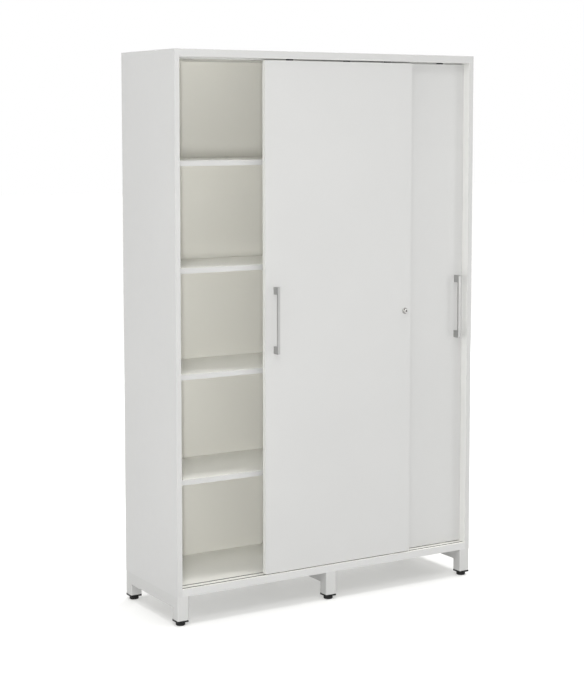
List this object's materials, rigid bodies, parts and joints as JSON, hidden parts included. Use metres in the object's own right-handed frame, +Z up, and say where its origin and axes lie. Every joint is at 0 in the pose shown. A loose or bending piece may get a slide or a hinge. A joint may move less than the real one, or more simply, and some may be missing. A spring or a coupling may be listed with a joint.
{
  "type": "sliding door cabinet",
  "caption": "Tall white storage cabinet with bypass sliding doors on rollers, bow handles, a push lock, shelves on pins and square legs with levelling feet.",
  "frame": {"origin": "on the floor, under the middle of the cabinet's box (front handle included)", "axes": "+X to the right along the front, +Y from front to back, +Z up"},
  "size_m": [1.2, 0.413, 1.89],
  "materials": {
    "white_laminate": "white melamine laminate, matt",
    "white_steel": "white powder coat, satin",
    "black_plastic": "fine grained",
    "grey_plastic": "extruded, matt",
    "white_plastic": "extruded, matt",
    "nylon": "moulded",
    "satin_steel": "satin nickel",
    "nickel": "nickel plated",
    "zinc": "zinc, bright",
    "beech": "bare, fluted"
  },
  "bodies": {
    "carcass": {"left_side_panel": "white_laminate", "right_side_panel": "white_laminate", "top_panel": "white_laminate", "bottom_panel": "white_laminate", "centre_divider": "white_laminate", "back_panel": "white_laminate", "left_shelf_1": "white_laminate", "left_shelf_2": "white_laminate", "left_shelf_3": "white_laminate", "left_shelf_4": "white_laminate", "right_shelf_1": "white_laminate", "right_shelf_2": "white_laminate", "right_shelf_3": "white_laminate", "right_shelf_4": "white_laminate", "shelf_pins": "zinc", "cam_locks": "zinc", "cam_bolts": "zinc", "dowels": "beech", "front_bottom_track": "grey_plastic", "rear_bottom_track": "grey_plastic", "top_track": "white_plastic", "leg_frame_left": "white_steel", "leg_frame_centre": "white_steel", "leg_frame_right": "white_steel", "leg_inserts": "black_plastic", "frame_screws": "zinc"},
    "front_door": {"front_door": "white_laminate", "front_roller_housings": "grey_plastic", "front_axles": "zinc", "front_top_guides": "black_plastic", "front_handle": "satin_steel", "front_handle_screws": "zinc", "lock_housing": "nickel", "lock_nut": "nickel"},
    "rear_door": {"rear_door": "white_laminate", "rear_roller_housings": "grey_plastic", "rear_axles": "zinc", "rear_top_guides": "black_plastic", "rear_handle": "satin_steel", "rear_handle_screws": "zinc", "lock_strike": "zinc", "strike_screws": "zinc"},
    "lock_plunger": {"lock_plunger": "nickel"},
    "lock_key_plug": {"lock_key_plug": "nickel"},
    "front_left_roller": {"front_left_roller": "nylon"},
    "front_right_roller": {"front_right_roller": "nylon"},
    "rear_left_roller": {"rear_left_roller": "nylon"},
    "rear_right_roller": {"rear_right_roller": "nylon"},
    "foot_front_left": {"foot_front_left": "black_plastic", "foot_stud_front_left": "zinc"},
    "foot_front_centre": {"foot_front_centre": "black_plastic", "foot_stud_front_centre": "zinc"},
    "foot_front_right": {"foot_front_right": "black_plastic", "foot_stud_front_right": "zinc"},
    "foot_rear_left": {"foot_rear_left": "black_plastic", "foot_stud_rear_left": "zinc"},
    "foot_rear_centre": {"foot_rear_centre": "black_plastic", "foot_stud_rear_centre": "zinc"},
    "foot_rear_right": {"foot_rear_right": "black_plastic", "foot_stud_rear_right": "zinc"}
  },
  "joints": [
    {"name": "front_door_slide", "type": "slide", "parent": "carcass", "child": "front_door", "axis": [1, 0, 0], "range_m": [-0.32, 0.207]},
    {"name": "rear_door_slide", "type": "slide", "parent": "carcass", "child": "rear_door", "axis": [1, 0, 0], "range_m": [-0.207, 0]},
    {"name": "lock_push", "type": "slide", "parent": "front_door", "child": "lock_plunger", "axis": [0, 1, 0], "range_m": [0, 0.007], "stiffness_N_per_m": 300},
    {"name": "key_turn", "type": "hinge", "parent": "lock_plunger", "child": "lock_key_plug", "pos_m": [0.31, -0.188, 0.993], "axis": [0, 1, 0], "range_deg": [0, 90]},
    {"name": "front_left_roller_spin", "type": "hinge", "parent": "front_door", "child": "front_left_roller", "pos_m": [-0.191, -0.1695, 0.1318], "axis": [0, 1, 0], "range_deg": [-1311, 849]},
    {"name": "front_right_roller_spin", "type": "hinge", "parent": "front_door", "child": "front_right_roller", "pos_m": [0.265, -0.1695, 0.1318], "axis": [0, 1, 0], "range_deg": [-1311, 849]},
    {"name": "rear_left_roller_spin", "type": "hinge", "parent": "rear_door", "child": "rear_left_roller", "pos_m": [0.055, -0.1415, 0.1318], "axis": [0, 1, 0], "range_deg": [-849, 1]},
    {"name": "rear_right_roller_spin", "type": "hinge", "parent": "rear_door", "child": "rear_right_roller", "pos_m": [0.511, -0.1415, 0.1318], "axis": [0, 1, 0], "range_deg": [-849, 1]},
    {"name": "screw_foot_front_left", "type": "slide", "parent": "carcass", "child": "foot_front_left", "axis": [0, 0, 1], "range_m": [-0.012, 0]},
    {"name": "screw_foot_front_centre", "type": "slide", "parent": "carcass", "child": "foot_front_centre", "axis": [0, 0, 1], "range_m": [-0.012, 0]},
    {"name": "screw_foot_front_right", "type": "slide", "parent": "carcass", "child": "foot_front_right", "axis": [0, 0, 1], "range_m": [-0.012, 0]},
    {"name": "screw_foot_rear_left", "type": "slide", "parent": "carcass", "child": "foot_rear_left", "axis": [0, 0, 1], "range_m": [-0.012, 0]},
    {"name": "screw_foot_rear_centre", "type": "slide", "parent": "carcass", "child": "foot_rear_centre", "axis": [0, 0, 1], "range_m": [-0.012, 0]},
    {"name": "screw_foot_rear_right", "type": "slide", "parent": "carcass", "child": "foot_rear_right", "axis": [0, 0, 1], "range_m": [-0.012, 0]}
  ],
  "couplings": [
    {"joint": "front_left_roller_spin", "follows": "front_door_slide", "rad_per_m": 71.429},
    {"joint": "front_right_roller_spin", "follows": "front_door_slide", "rad_per_m": 71.429},
    {"joint": "rear_left_roller_spin", "follows": "rear_door_slide", "rad_per_m": 71.429},
    {"joint": "rear_right_roller_spin", "follows": "rear_door_slide", "rad_per_m": 71.429}
  ]
}
